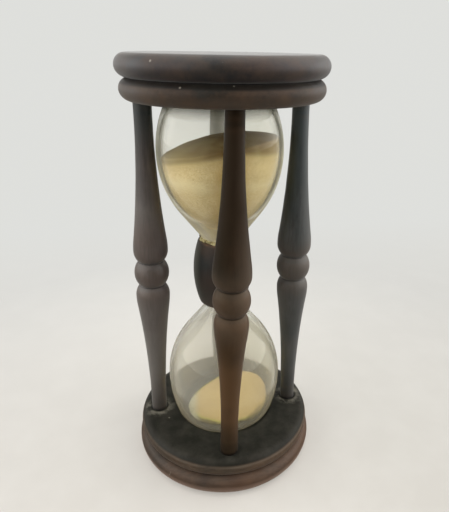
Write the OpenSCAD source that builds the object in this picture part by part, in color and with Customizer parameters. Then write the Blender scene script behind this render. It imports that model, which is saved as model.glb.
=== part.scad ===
// Four-post sand glass: two blown bulbs joined in a wooden barrel, held between
// two pairs of turned discs by four turned posts. Millimetres, +Z up, origin at
// the centre of the base's underside.

/* [End discs] */
// How far the outer disc at each end stands out past the inner one
disc_step = 1.4; // [0:0.1:4]
// Thickness of each outer disc, whose rim is a full round
outer_disc_t = 10.6; // [7:0.1:15]
// Distance from a post's axis to the rim of the inner discs
disc_margin = 10.2; // [10:0.1:20]
// Thickness of each inner disc, whose rim is a full round
inner_disc_t = 10.1; // [7:0.1:15]
// Depth of the round seat turned in each inner disc for a bulb's end
seat_depth = 3.5; // [2.5:0.1:5]
// Least clearance between a bulb and the side of its seat
seat_gap = 0.5; // [0.3:0.1:1.5]

/* [Posts] */
// Distance from the widest part of the glass to a post's axis
post_offset = 6.95; // [6.5:0.05:12]
// Diameter of a post where it meets a disc
post_end_d = 8.2; // [7.4:0.1:10]
// Diameter of the swell on each side of the bead
post_swell_d = 17.6; // [15:0.1:20]
// Diameter of the bead at the middle
bead_d = 18; // [15:0.1:20]
// Height of the bead from groove to groove
bead_h = 13.6; // [10:0.2:18]
// How far the middle of the bead lies below the middle of the post
bead_drop = 0.9; // [-3:0.1:3]
// Diameter at the bottom of the grooves above and below the bead
groove_d = 13; // [10:0.1:14]
// Height of the rounded shoulder from a groove to the swell
shoulder_h = 5.9; // [4:0.1:8]
// Radius of the crown where the swell turns into the taper
crown_r = 45; // [20:1:80]
// Slope in degrees at which the taper leaves the swell
taper_angle = 7.5; // [6:0.1:9]
// Diameter of the tenon at each end of a post
tenon_d = 6; // [4:0.1:7]
// Clearance round a tenon, and between its end and the outer disc
tenon_gap = 0.15; // [0.05:0.05:0.3]

/* [Glass] */
// Largest diameter of both bulbs
belly_d = 62.9; // [58:0.1:70]
// Wall of the bulbs
glass_wall = 2; // [1.5:0.1:3]
// Outer diameter of the necks
neck_d = 12; // [10:0.1:14]
// Wall of the necks
neck_wall = 2.4; // [1.8:0.1:3]
// Angle in degrees by which the inside of a bulb closes faster than the outside
wall_flare_angle = 3; // [0:0.5:4]
// Radius between the cone of a bulb and its neck
neck_fillet_r = 8; // [5:0.5:12]
// Radius between the flat end of a bulb and its side
bulb_edge_r = 7; // [5:0.5:9]
// Height of that diameter above the lower bulb's flat end
lower_belly_h = 25; // [20:0.5:30]
// Radius of the lower bulb's side between its belly and its flat end
lower_end_r = 60; // [50:1:80]
// Radius of the lower bulb's side between its belly and its cone
lower_flank_r = 45; // [38:1:55]
// Slope in degrees of the lower bulb's cone from its axis
lower_cone_angle = 38.7; // [34:0.1:42]
// Length of the lower bulb's straight neck
lower_neck_len = 13.4; // [10:0.2:20]
// Distance of that diameter from the upper bulb's flat end
upper_belly_h = 26.8; // [20:0.5:30]
// Radius of the upper bulb's side between its belly and its flat end
upper_end_r = 53; // [50:1:80]
// Radius of the upper bulb's side between its belly and its cone
upper_flank_r = 52; // [38:1:58]
// Slope in degrees of the upper bulb's cone from its axis
upper_cone_angle = 36.9; // [34:0.1:42]
// Length of the upper bulb's straight neck
upper_neck_len = 10.5; // [9:0.2:20]
// Lean of the joined glass in degrees, towards -X
glass_lean_angle = 0.65; // [0:0.05:1]

/* [Neck joint] */
// Thickness of the pierced disc between the necks
orifice_t = 0.8; // [0.5:0.1:2]
// Diameter of the hole that meters the sand
orifice_d = 1.2; // [0.8:0.1:2.5]
// Length of the wooden barrel over the necks
barrel_len = 36.5; // [30:0.5:38]
// Diameter of the barrel at its middle
barrel_d = 30.8; // [28:0.1:34]
// Radius of the barrel's bowed side
barrel_bow_r = 54; // [45:1:90]
// Radius round the ends of the barrel
barrel_edge_r = 2.2; // [1:0.1:3]
// Thickness of the putty between a neck and the barrel's bore
putty_t = 1.6; // [1:0.1:2.4]
// Thickness of the putty where a bulb widens into the barrel's mouth
mouth_putty_t = 0.5; // [0.3:0.1:0.6]
// Clearance on each side of a ring of putty
putty_gap = 0.05; // [0.02:0.01:0.1]

/* [Pads] */
// Thickness of the felt pad under each bulb
pad_t = 1; // [0.6:0.1:2]
// Diameter of the felt pads
pad_d = 40; // [30:0.5:41]
// Least clearance between a pad and the floor of its seat
pad_gap = 0.05; // [0.02:0.01:0.3]

/* [Sand] */
// Clearance between sand and glass
sand_gap = 0.3; // [0.2:0.05:0.5]
// Radius of the heaped top of the upper sand
upper_heap_r = 71; // [50:1:200]
// Height of the upper heap's top above the pierced disc
upper_heap_h = 73.6; // [40:0.2:76]
// Place of the upper heap's top towards +X from the glass axis
upper_heap_x = 11.8; // [-14:0.2:14]
// Place of the upper heap's top towards +Y from the glass axis
upper_heap_y = -2.6; // [-14:0.2:14]
// Radius of the heaped top of the lower sand
lower_heap_r = 70; // [50:1:200]
// Height of the lower heap's top above the glass floor
lower_heap_h = 4; // [2:0.1:12]
// Place of the lower heap's top towards +X from the glass axis
lower_heap_x = 4; // [-8:0.2:8]
// Place of the lower heap's top towards +Y from the glass axis
lower_heap_y = 2; // [-8:0.2:8]

/* [Hidden] */
$fn = 96;

wood = [0.22, 0.18, 0.15];
wood_light = [0.27, 0.21, 0.17];
glass = [0.8, 0.83, 0.76, 0.4];
brass = [0.7, 0.58, 0.3];
putty = [0.78, 0.74, 0.6];
felt = [0.32, 0.3, 0.24];
sand = [0.78, 0.68, 0.47];

over = 1;
segment_angle = 4;
bow_segments = 8;

// A bulb: belly radius, belly height, end side radius, cone side radius, cone
// slope, neck radius, neck fillet radius, edge radius, flat end's height.
neck_r = neck_d / 2;
lower_outside = [belly_d / 2, lower_belly_h, lower_end_r, lower_flank_r, lower_cone_angle,
                 neck_r, neck_fillet_r, bulb_edge_r, 0];
upper_outside = [belly_d / 2, upper_belly_h, upper_end_r, upper_flank_r, upper_cone_angle,
                 neck_r, neck_fillet_r, bulb_edge_r, 0];

function inside(b) = [b[0] - glass_wall, b[1], b[2] - glass_wall, b[3] - glass_wall,
                      b[4] + wall_flare_angle, b[5] - neck_wall, b[6] + glass_wall,
                      b[7] - glass_wall, glass_wall];

// Points on a circle about [x, y] from angle a0 to angle a1
function arc(x, y, r, a0, a1) =
    let (n = max(3, ceil(abs(a1 - a0) / segment_angle)))
    [for (i = [0:n]) let (a = a0 + (a1 - a0) * i / n) [x + r * cos(a), y + r * sin(a)]];

// Points on an arc from p to q that turns by 2 * half degrees, bowed to its left
function bow(p, q, half) =
    let (d = norm(q - p), u = (q - p) / d, v = [-u[1], u[0]], r = d / (2 * sin(half)))
    [for (i = [0:bow_segments]) let (a = half * (2 * i / bow_segments - 1))
        p + u * r * (sin(a) + sin(half)) + v * r * (cos(a) - cos(half))];

// Distance from the axis of a round of radius e, at height h from the middle,
// that lies just inside a side of radius r whose widest radius is w
function round_x(w, r, e, h) = w - r + sqrt(pow(r - e, 2) - pow(h, 2));

function cone_start(b) = [b[0] - b[3] * (1 - cos(b[4])), b[1] + b[3] * sin(b[4])];

// Height above the flat end at which the straight neck starts
function neck_h(b) = let (c = cone_start(b))
    c[1] + (b[6] - (b[5] + b[6] - c[0]) * cos(b[4])) / sin(b[4]);

// Outline of a bulb up to height top, moved outwards by grow
function bulb_outline(b, top, grow) =
    let (edge_y = b[8] + b[7], edge_x = round_x(b[0], b[2], b[7], b[1] - edge_y),
         edge_a = asin((b[1] - edge_y) / (b[2] - b[7])))
    concat([[0, b[8] - grow]],
           arc(edge_x, edge_y, b[7] + grow, -90, -edge_a),
           arc(b[0] - b[2], b[1], b[2] + grow, -edge_a, 0),
           arc(b[0] - b[3], b[1], b[3] + grow, 0, b[4]),
           arc(b[5] + b[6], neck_h(b), b[6] - grow, 180 + b[4], 180),
           [[b[5] + grow, top], [0, top]]);

// Outer radius of a bulb at a height h within its rounded edge
function edge_reach(b, h) = round_x(b[0], b[2], b[7], b[1] - b[7]) + sqrt(pow(b[7], 2) - pow(b[7] - h, 2));

lower_len = neck_h(lower_outside) + lower_neck_len;
upper_len = neck_h(upper_outside) + upper_neck_len;

// Heights along the leaning axis of the glass, from the lower bulb's flat end
orifice_z = lower_len;
orifice_mid_z = orifice_z + orifice_t / 2;
glass_len = lower_len + orifice_t + upper_len;
glass_stack = glass_len + 2 * pad_t;

// Widths of the frame
post_circle_r = belly_d / 2 + post_offset;
inner_disc_d = 2 * (post_circle_r + disc_margin);
outer_disc_d = inner_disc_d + 2 * disc_step;

// Heights in the frame
pad_lift = pad_d / 2 * sin(glass_lean_angle) + pad_gap;
disc_stack = outer_disc_t + inner_disc_t;
post_len = glass_stack * cos(glass_lean_angle) + 2 * pad_lift - 2 * seat_depth;
total_h = 2 * disc_stack + post_len;
glass_z = disc_stack - seat_depth + pad_lift + pad_t;

// The seats take the wider of the two bulbs, with the lean at the upper one
seat_grip = seat_depth - pad_lift - pad_t;
lean_reach = (glass_len - seat_grip) * tan(glass_lean_angle);
seat_r = max(edge_reach(lower_outside, seat_grip),
             edge_reach(upper_outside, seat_grip) + lean_reach) + seat_gap;

tenon_len = inner_disc_t - tenon_gap;
bore_r = neck_r + putty_t;

// A turned disc with a fully rounded rim, standing on z = 0
module turned_disc(d, t) {
    cylinder(r = d / 2 - t / 2, h = t);
    rotate_extrude() translate([d / 2 - t / 2, t / 2]) circle(d = t);
}

module outer_disc() color(wood) turned_disc(outer_disc_d, outer_disc_t);

// An inner disc with its seat on top and the four bores for the tenons
module inner_disc() color(wood_light) difference() {
    turned_disc(inner_disc_d, inner_disc_t);
    translate([0, 0, inner_disc_t - seat_depth]) cylinder(r = seat_r, h = seat_depth + over);
    for (i = [0:3]) rotate([0, 0, 90 * i]) translate([post_circle_r, 0, -over])
        cylinder(r = tenon_d / 2 + tenon_gap, h = inner_disc_t + 2 * over);
}

// The half outline of a post from its bead's groove down to its end, with the
// groove at height 0 and the end at height -h
function half_post(h) =
    let (swell_r = post_swell_d / 2, drop = swell_r - groove_d / 2,
         shoulder_r = (pow(shoulder_h, 2) + pow(drop, 2)) / (2 * drop),
         shoulder_a = asin(shoulder_h / shoulder_r),
         foot = [post_end_d / 2, -h],
         taper_top = [swell_r - crown_r * (1 - cos(taper_angle)), -shoulder_h - crown_r * sin(taper_angle)],
         chord = taper_top - foot,
         bend = taper_angle - atan2(chord[0], chord[1]))
    concat(bow(foot, taper_top, bend),
           arc(swell_r - crown_r, -shoulder_h, crown_r, -taper_angle, 0),
           arc(swell_r - shoulder_r, -shoulder_h, shoulder_r, 0, shoulder_a));

function flipped(points, z) = [for (i = [len(points) - 1:-1:0]) [points[i][0], z - points[i][1]]];
function lifted(points, z) = [for (p = points) [p[0], p[1] + z]];

module post() {
    bead_z = post_len / 2 - bead_drop;
    low_h = bead_z - bead_h / 2;
    high_z = bead_z + bead_h / 2;
    drop = (bead_d - groove_d) / 2;
    bead_arc_r = (pow(bead_h / 2, 2) + pow(drop, 2)) / (2 * drop);
    bead_a = asin(bead_h / 2 / bead_arc_r);
    rotate_extrude() polygon(concat(
        [[0, -tenon_len], [tenon_d / 2, -tenon_len], [tenon_d / 2, 0]],
        lifted(half_post(low_h), low_h),
        arc(bead_d / 2 - bead_arc_r, bead_z, bead_arc_r, -bead_a, bead_a),
        flipped(half_post(post_len - high_z), high_z),
        [[tenon_d / 2, post_len], [tenon_d / 2, post_len + tenon_len], [0, post_len + tenon_len]]));
}

// A post a quarter turn times i round from the front
module placed_post(i) color(wood) rotate([0, 0, 90 * i])
    translate([0, -post_circle_r, disc_stack]) post();

// Places the glass and what is joined to it on the leaning axis
module leaned() translate([0, 0, glass_z]) rotate([0, -glass_lean_angle, 0]) children();

// Turns a bulb over onto the upper end of the glass
module turned_over() translate([0, 0, glass_len]) mirror([0, 0, 1]) children();

module bulb_shape(b, top, grow) rotate_extrude() polygon(bulb_outline(b, top, grow));

module bulb(b, bulb_len) difference() {
    bulb_shape(b, bulb_len, 0);
    bulb_shape(inside(b), bulb_len + over, 0);
}

module lower_blank(grow) bulb_shape(lower_outside, orifice_mid_z, grow);
module upper_blank(grow) turned_over() bulb_shape(upper_outside, glass_len - orifice_mid_z, grow);

// The space inside the barrel, drawn in by gap
module barrel_bore(gap) {
    lower_blank(mouth_putty_t - gap);
    upper_blank(mouth_putty_t - gap);
    translate([0, 0, orifice_mid_z - lower_neck_len]) cylinder(r = bore_r - gap, h = lower_neck_len + upper_neck_len);
}

module barrel_body() {
    corner_x = round_x(barrel_d / 2, barrel_bow_r, barrel_edge_r, barrel_len / 2 - barrel_edge_r);
    corner_y = barrel_len / 2 - barrel_edge_r;
    side_a = asin(corner_y / (barrel_bow_r - barrel_edge_r));
    translate([0, 0, orifice_mid_z]) rotate_extrude() polygon(concat(
        [[0, -barrel_len / 2]],
        arc(corner_x, -corner_y, barrel_edge_r, -90, -side_a),
        arc(barrel_d / 2 - barrel_bow_r, 0, barrel_bow_r, -side_a, side_a),
        arc(corner_x, corner_y, barrel_edge_r, side_a, 90),
        [[0, barrel_len / 2]]));
}

// A slice of the barrel's space between two heights, without the necks
module putty_ring(z0, z1) difference() {
    intersection() {
        barrel_bore(putty_gap);
        translate([0, 0, z0]) cylinder(r = barrel_d / 2, h = z1 - z0);
    }
    lower_blank(putty_gap);
    upper_blank(putty_gap);
}

// The space below a heap's rounded top at [x, y, top]
module heap(x, y, top, r) translate([x, y, top - r]) rotate_extrude() polygon(arc(0, 0, r, -90, 90));

module bottom_outer_disc() outer_disc();
module bottom_inner_disc() translate([0, 0, outer_disc_t]) inner_disc();
module top_inner_disc() translate([0, 0, total_h - outer_disc_t]) mirror([0, 0, 1]) inner_disc();
module top_outer_disc() translate([0, 0, total_h - outer_disc_t]) outer_disc();

module lower_bulb() color(glass) leaned() bulb(lower_outside, lower_len);
module upper_bulb() color(glass) leaned() turned_over() bulb(upper_outside, upper_len);

module neck_barrel() color(wood_light) leaned() difference() {
    barrel_body();
    barrel_bore(0);
}

module orifice_disc() color(brass) leaned() translate([0, 0, orifice_z]) difference() {
    cylinder(r = bore_r - putty_gap, h = orifice_t);
    translate([0, 0, -over]) cylinder(d = orifice_d, h = orifice_t + 2 * over);
}

module lower_neck_putty() color(putty) leaned() putty_ring(orifice_mid_z - barrel_len / 2, orifice_z);
module upper_neck_putty() color(putty) leaned()
    putty_ring(orifice_z + orifice_t, orifice_mid_z + barrel_len / 2);

module lower_pad() color(felt) leaned() translate([0, 0, -pad_t]) cylinder(d = pad_d, h = pad_t);
module upper_pad() color(felt) leaned() translate([0, 0, glass_len]) cylinder(d = pad_d, h = pad_t);

module lower_sand() color(sand) leaned() intersection() {
    bulb_shape(inside(lower_outside), lower_len, -sand_gap);
    heap(lower_heap_x, lower_heap_y, glass_wall + lower_heap_h, lower_heap_r);
}

module upper_sand() color(sand) leaned() intersection() {
    turned_over() bulb_shape(inside(upper_outside), upper_len - sand_gap, -sand_gap);
    heap(upper_heap_x, upper_heap_y, orifice_z + orifice_t + upper_heap_h, upper_heap_r);
}

bottom_outer_disc();
bottom_inner_disc();
top_inner_disc();
top_outer_disc();
placed_post(0);  // post_front
placed_post(1);  // post_right
placed_post(2);  // post_rear
placed_post(3);  // post_left
lower_bulb();
upper_bulb();
neck_barrel();
orifice_disc();
lower_neck_putty();
upper_neck_putty();
lower_pad();
upper_pad();
lower_sand();
upper_sand();
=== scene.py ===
# Sand glass with four turned posts: shapes, finishes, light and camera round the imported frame. Metres, +Z up.
import math

import bpy
from mathutils import Matrix, Vector, kdtree


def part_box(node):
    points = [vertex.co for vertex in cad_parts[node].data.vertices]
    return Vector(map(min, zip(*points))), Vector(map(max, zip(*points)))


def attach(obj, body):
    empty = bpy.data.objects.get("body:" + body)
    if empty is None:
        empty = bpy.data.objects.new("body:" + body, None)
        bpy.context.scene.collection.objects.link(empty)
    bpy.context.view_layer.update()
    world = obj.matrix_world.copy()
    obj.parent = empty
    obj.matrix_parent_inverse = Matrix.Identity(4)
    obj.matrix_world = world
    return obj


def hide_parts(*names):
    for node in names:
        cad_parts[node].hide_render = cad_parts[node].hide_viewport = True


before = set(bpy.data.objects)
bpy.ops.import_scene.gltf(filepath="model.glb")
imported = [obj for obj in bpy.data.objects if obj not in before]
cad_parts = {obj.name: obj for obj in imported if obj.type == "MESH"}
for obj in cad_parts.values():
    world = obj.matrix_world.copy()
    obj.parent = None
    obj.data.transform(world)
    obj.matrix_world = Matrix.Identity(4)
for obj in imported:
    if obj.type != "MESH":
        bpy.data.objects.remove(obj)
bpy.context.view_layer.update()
mm = 0.001
print("frame loaded:", len(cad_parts), "nodes")


# small helpers

def deselectAll():
    if bpy.context.object and bpy.context.object.mode != "OBJECT":
        bpy.ops.object.mode_set(mode="OBJECT")
    bpy.ops.object.select_all(action="DESELECT")


def pick(piece):
    deselectAll()
    bpy.context.view_layer.objects.active = piece
    piece.select_set(True)


def applyModifier(piece, kind, **settings):
    pick(piece)
    modifier = piece.modifiers.new(kind.lower(), kind)
    for key, value in settings.items():
        setattr(modifier, key, value)
    bpy.ops.object.modifier_apply(modifier=modifier.name)


def cloudTexture(name, size, depth=1):
    texture = bpy.data.textures.new(name, "CLOUDS")
    texture.noise_scale = size
    texture.noise_depth = depth
    return texture


def arcPoints(x, z, r, start, end, steps):
    turns = [math.radians(start + (end - start) * i / steps) for i in range(steps + 1)]
    return [(x + r * math.cos(a), z + r * math.sin(a)) for a in turns]


def bowPoints(p, q, half, steps):
    # from p to q on an arc that turns by twice half and bows to its left
    dx, dz = q[0] - p[0], q[1] - p[1]
    chord = math.hypot(dx, dz)
    ux, uz = dx / chord, dz / chord
    r = chord / (2 * math.sin(half))
    points = []
    for i in range(steps + 1):
        a = half * (2 * i / steps - 1)
        along, out = r * (math.sin(a) + math.sin(half)), r * (math.cos(a) - math.cos(half))
        points.append((p[0] + ux * along - uz * out, p[1] + uz * along + ux * out))
    return points


def dropRepeats(points, closest=0.004):
    kept = [points[0]]
    for p in points[1:]:
        if math.hypot(p[0] - kept[-1][0], p[1] - kept[-1][1]) > closest:
            kept.append(p)
    return kept


def turnPiece(name, outline, steps):
    # a chain of vertices along the outline, in millimetres, spun round the Z axis
    outline = dropRepeats(outline)
    deselectAll()
    bpy.ops.mesh.primitive_plane_add(size=mm)
    piece = bpy.context.active_object
    piece.name = piece.data.name = name
    bpy.ops.object.mode_set(mode="EDIT")
    bpy.ops.mesh.select_all(action="SELECT")
    bpy.ops.mesh.merge(type="CENTER")
    x, z = outline[0]
    bpy.ops.transform.translate(value=(x * mm, 0, z * mm))
    for nextX, nextZ in outline[1:]:
        bpy.ops.mesh.extrude_vertices_move(
            TRANSFORM_OT_translate={"value": ((nextX - x) * mm, 0, (nextZ - z) * mm)})
        x, z = nextX, nextZ
    bpy.ops.mesh.select_all(action="SELECT")
    bpy.ops.mesh.spin(steps=steps, angle=math.tau, center=(0, 0, 0), axis=(0, 0, 1))
    bpy.ops.mesh.select_all(action="SELECT")
    bpy.ops.mesh.remove_doubles(threshold=1e-6)
    bpy.ops.mesh.normals_make_consistent(inside=False)
    bpy.ops.object.mode_set(mode="OBJECT")
    markRubbed(piece, outline)
    return piece


def turnAt(outline, j):
    # the angle by which the outline turns at a point, and the length of the stretch after it
    (x0, z0), (x1, z1), (x2, z2) = outline[j - 1:j + 2]
    ax, az = x1 - x0, z1 - z0
    bx, bz = x2 - x1, z2 - z1
    return math.atan2(ax * bz - az * bx, ax * bx + az * bz), math.hypot(bx, bz)


# points to each side over which a turn counts, their least length, and how strongly an edge or a hollow shows
rubSettings = {"points": 4, "length": 0.5, "edge": 2.5, "hollow": 1.5}


def markRubbed(piece, outline):
    # hands and cloths rub the finish off where the outline turns outwards, and it comes out darker where it
    # turns in
    s = rubSettings
    tree = kdtree.KDTree(len(outline))
    last = len(outline) - 1
    sharpness, hollows = [], []
    for i, (x, z) in enumerate(outline):
        tree.insert((x, 0, z), i)
        nearby = range(max(1, i - s["points"]), min(last, i + s["points"] + 1))
        turns, lengths = zip(*[turnAt(outline, j) for j in nearby])
        sharpness.append(max(0.0, min(1.0, sum(turns) / max(sum(lengths), s["length"]) * s["edge"])))
        turn = turnAt(outline, max(1, min(last - 1, i)))[0]
        hollows.append(max(0.0, min(1.0, -s["hollow"] * turn)))
    tree.balance()
    rubbed = piece.data.attributes.new("rubbed", "FLOAT", "POINT")
    hollow = piece.data.attributes.new("hollow", "FLOAT", "POINT")
    for i, v in enumerate(piece.data.vertices):
        nearest = tree.find((math.hypot(v.co.x, v.co.y) / mm, 0, v.co.z / mm))[1]
        rubbed.data[i].value = sharpness[nearest]
        hollow.data[i].value = hollows[nearest]


def settle(piece, matrix):
    # puts the place and the turn into the mesh, with the object left at the origin
    piece.matrix_world = matrix
    pick(piece)
    bpy.ops.object.transform_apply(location=True, rotation=True, scale=True)


def smooth(piece, angle):
    pick(piece)
    bpy.ops.object.shade_smooth_by_angle(angle=math.radians(angle))


def carve(piece, tool, operation):
    applyModifier(piece, "BOOLEAN", operation=operation, object=tool, solver="EXACT")
    bpy.data.objects.remove(tool)


def finishPiece(piece, material, slotName, *nodes):
    piece.data.materials.clear()
    piece.data.materials.append(material)
    if nodes:
        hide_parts(*nodes)
    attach(piece, "root")


# node helpers

def link(source, target):
    target.id_data.links.new(source, target)


def addNode(kind, inputs=(), tree=None, **settings):
    # goes into the tree that its inputs come from, unless one is given
    inputs = dict(inputs)
    linked = [key for key, value in inputs.items() if isinstance(value, bpy.types.NodeSocket)]
    tree = tree or inputs[linked[0]].id_data
    node = tree.nodes.new("ShaderNode" + kind)
    for key, value in settings.items():
        setattr(node, key, value)
    for key, value in inputs.items():
        if key in linked:
            link(value, node.inputs[key])
        else:
            node.inputs[key].default_value = value
    return node


def newMaterial(name):
    material = bpy.data.materials.new(name)
    material.use_nodes = True
    tree = material.node_tree
    place = addNode("TexCoord", tree=tree).outputs["Object"]
    return material, tree, place, tree.nodes["Principled BSDF"]


def setFinish(shader, colour, values):
    # the colour is a pattern, and what is the same all over sits on the shader's own sockets
    link(colour, shader.inputs["Base Color"])
    for key, value in values.items():
        shader.inputs[key].default_value = value


def addBump(shader, height, strength, distance, invert=False):
    bump = addNode("Bump", {"Height": height, "Strength": strength, "Distance": distance}, invert=invert)
    link(bump.outputs[0], shader.inputs["Normal"])


def grey(value):
    return (value, value, value, 1)


def ramp(fac, *stops):
    node = addNode("ValToRGB", {"Fac": fac})
    elements = node.color_ramp.elements
    while len(elements) < len(stops):
        elements.new(0.5)
    for element, (place, colour) in zip(elements, stops):
        element.position = place
        element.color = colour if isinstance(colour, tuple) else grey(colour)
    return node.outputs["Color"]


def mixColour(fac, a, b, blend="MIX"):
    return addNode("Mix", {0: fac, 6: a, 7: b}, data_type="RGBA", blend_type=blend).outputs[2]


def mixShaders(fac, a, b):
    return addNode("MixShader", {0: fac, 1: a, 2: b}).outputs[0]


def showShader(surface):
    link(surface, surface.id_data.nodes["Material Output"].inputs["Surface"])


def maths(operation, a, b=0.0, clamp=False):
    return addNode("Math", {0: a, 1: b}, operation=operation, use_clamp=clamp).outputs[0]


def vectorMaths(operation, a, b=(0, 0, 0)):
    node = addNode("VectorMath", {0: a, 1: b}, operation=operation)
    return node.outputs["Value" if operation in ("LENGTH", "DISTANCE", "DOT_PRODUCT") else "Vector"]


def multiply(first, *others):
    for value in others:
        first = maths("MULTIPLY", first, value)
    return first


def lay(colour, tone, *masks):
    # a coat of one tone over what is there, as far as all the masks let it show
    return mixColour(multiply(*masks), colour, tone)


def band(value, start, end, most=1.0, least=0.0, soft=False):
    inputs = {"Value": value, "From Min": start, "From Max": end, "To Min": least, "To Max": most}
    return addNode("MapRange", inputs,
                   interpolation_type="SMOOTHSTEP" if soft else "LINEAR").outputs[0]


def split(vector):
    return addNode("SeparateXYZ", {0: vector}).outputs


def clouds(place, scale, detail, **more):
    inputs = {"Vector": place, "Scale": scale, "Detail": detail, **more}
    return addNode("TexNoise", inputs).outputs["Fac"]


def waver(pattern, amount):
    # swings to both sides of nought
    return multiply(maths("SUBTRACT", pattern, 0.5), amount)


def cells(place, scale):
    # the cells' distances, and a number that differs from cell to cell
    found = addNode("TexVoronoi", {"Vector": place, "Scale": scale}).outputs
    return found["Distance"], addNode("SeparateColor", {0: found["Color"]}).outputs


def attribute(tree, name):
    return addNode("Attribute", tree=tree, attribute_name=name).outputs["Fac"]


def newGroup(name, inputs, outputs):
    group = bpy.data.node_groups.new(name, "ShaderNodeTree")
    for label, kind, value in inputs:
        socket = group.interface.new_socket(name=label, in_out="INPUT", socket_type="NodeSocket" + kind)
        if value is not None:
            socket.default_value = value
    for label in outputs:
        group.interface.new_socket(name=label, in_out="OUTPUT", socket_type="NodeSocketFloat")
    return group, group.nodes.new("NodeGroupInput").outputs, group.nodes.new("NodeGroupOutput").inputs


def giveOut(outputs, values):
    for label, value in values.items():
        link(value, outputs[label])


# camera

cameraSettings = {
    "place": (-0.02408, -0.23998, 0.22120),
    "turnRight": 9.06,
    "lookDown": 20.14,
    "roll": 0.95,
    "lens": 34.48,
    "shift": (-0.05145, -0.06031),
}

cameraData = bpy.data.cameras.new("camera")
cameraData.lens = cameraSettings["lens"]
cameraData.shift_x, cameraData.shift_y = cameraSettings["shift"]
cameraData.clip_start = 0.005
camera = bpy.data.objects.new("camera", cameraData)
bpy.context.scene.collection.objects.link(camera)
camera.matrix_world = (
    Matrix.Translation(cameraSettings["place"])
    @ Matrix.Rotation(math.radians(-cameraSettings["turnRight"]), 4, "Z")
    @ Matrix.Rotation(math.radians(90 - cameraSettings["lookDown"]), 4, "X")
    @ Matrix.Rotation(math.radians(cameraSettings["roll"]), 4, "Z"))
bpy.context.scene.camera = camera
bpy.context.scene.view_settings.view_transform = "Standard"
print("camera placed")


# stage and light

stageSettings = {
    "floorSize": 6.0,
    "floorWarm": (0.715, 0.682, 0.632, 1),
    "floorCloud": (0.9, 0.88, 0.84, 1),
    "floorFar": (0.735, 0.74, 0.715, 1),
    "farY": (-0.12, 0.35),
    "farReach": (0.25, 0.8),
    "rightShade": (0.93, 0.935, 0.93, 1),
    "rightX": (0.0, 0.1),
    # the share of the floor's look that doesn't take shadows, and where it grows to all of it
    "ownGlow": 0.4,
    "glowReach": (0.06, 0.26),
    "floorLit": (0.93, 0.93, 0.93, 1),
    "floorBounce": (0.34, 0.33, 0.32, 1),
    "backdrop": (0.735, 0.74, 0.715, 1),
}
# how bright the room is, and what each part of it adds: where it is, how wide it starts, how much it adds
roomSettings = {
    "colour": (1, 0.985, 0.955, 1),
    "level": 0.34,
    "least": 0.03,
    "parts": {
        "leftWindow": ((-0.96, -0.16, 0.2), 0.45, 2.2),
        "rightWindow": ((0.96, -0.16, 0.22), 0.45, 2.5),
        "backWall": ((0.0, 1.0, -0.05), 0.72, 0.6),
        "ceiling": ((0.0, 0.1, 1.0), 0.35, 0.36),
        "behindCamera": ((0.0, -1.0, -0.15), 0.62, -0.32),
    },
}
lampSettings = {"place": (0.0, 0.15, 1.15), "aim": (0, 0, 0.1), "size": 1.2, "power": 4.0,
                "colour": (1, 0.985, 0.96)}


def seenPlainly(tree):
    seen = addNode("LightPath", tree=tree).outputs
    return maths("MAXIMUM", seen["Is Camera Ray"], seen["Is Transmission Ray"])


def floorCloth():
    s = stageSettings
    material, tree, place, shader = newMaterial("floorCloth")
    spot = split(place)
    reach = vectorMaths("LENGTH", place)
    far = maths("MAXIMUM", band(spot["Y"], *s["farY"]), band(reach, *s["farReach"]))
    near = maths("SUBTRACT", 1.0, far)
    tone = mixColour(far, s["floorWarm"], s["floorFar"])
    mottle = ramp(clouds(place, 40, 5), (0.4, 0.0), (0.7, 0.2))
    tone = lay(tone, s["floorCloud"], mottle, near)
    shaded = mixColour(1.0, tone, s["rightShade"], "MULTIPLY")
    tone = lay(tone, shaded, band(spot["X"], *s["rightX"]), near)
    lit = mixColour(1.0, tone, s["floorLit"], "MULTIPLY")
    bounced = mixColour(1.0, tone, s["floorBounce"], "MULTIPLY")
    clear = seenPlainly(tree)
    setFinish(shader, mixColour(clear, bounced, lit),
              {"Roughness": 0.6, "Specular IOR Level": 0.1})
    glow = addNode("Emission", {"Color": tone, "Strength": 1.0}).outputs[0]
    own = multiply(clear, band(reach, *s["glowReach"], least=s["ownGlow"]))
    showShader(mixShaders(own, shader.outputs[0], glow))
    return material


deselectAll()
bpy.ops.mesh.primitive_grid_add(x_subdivisions=8, y_subdivisions=8, size=stageSettings["floorSize"])
floor = bpy.context.active_object
floor.name = "floor"
floor.data.materials.append(floorCloth())

world = bpy.data.worlds.new("softRoom")
bpy.context.scene.world = world
world.use_nodes = True
tree = world.node_tree
tree.nodes.clear()
direction = addNode("TexCoord", tree=tree).outputs["Generated"]
level = roomSettings["level"]
for towards, start, gain in roomSettings["parts"].values():
    near = vectorMaths("DOT_PRODUCT", direction, Vector(towards).normalized())
    level = maths("ADD", level, multiply(band(near, start, 1.0, soft=True), gain))
level = maths("MAXIMUM", level, roomSettings["least"])
room, plain = [addNode("Background", {"Color": colour, "Strength": strength}, tree).outputs[0]
               for colour, strength in ((roomSettings["colour"], level), (stageSettings["backdrop"], 1.0))]
blend = mixShaders(seenPlainly(tree), room, plain)
link(blend, addNode("OutputWorld", tree=tree).inputs["Surface"])

lampData = bpy.data.lights.new("overhead", "AREA")
lampData.size = lampSettings["size"]
lampData.energy = lampSettings["power"]
lampData.color = lampSettings["colour"]
lamp = bpy.data.objects.new("overhead", lampData)
bpy.context.scene.collection.objects.link(lamp)
lamp.location = lampSettings["place"]
aim = Vector(lampSettings["aim"]) - Vector(lampSettings["place"])
lamp.rotation_euler = aim.to_track_quat("-Z", "Y").to_euler()
print("stage and light made")


# shared effects

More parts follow.
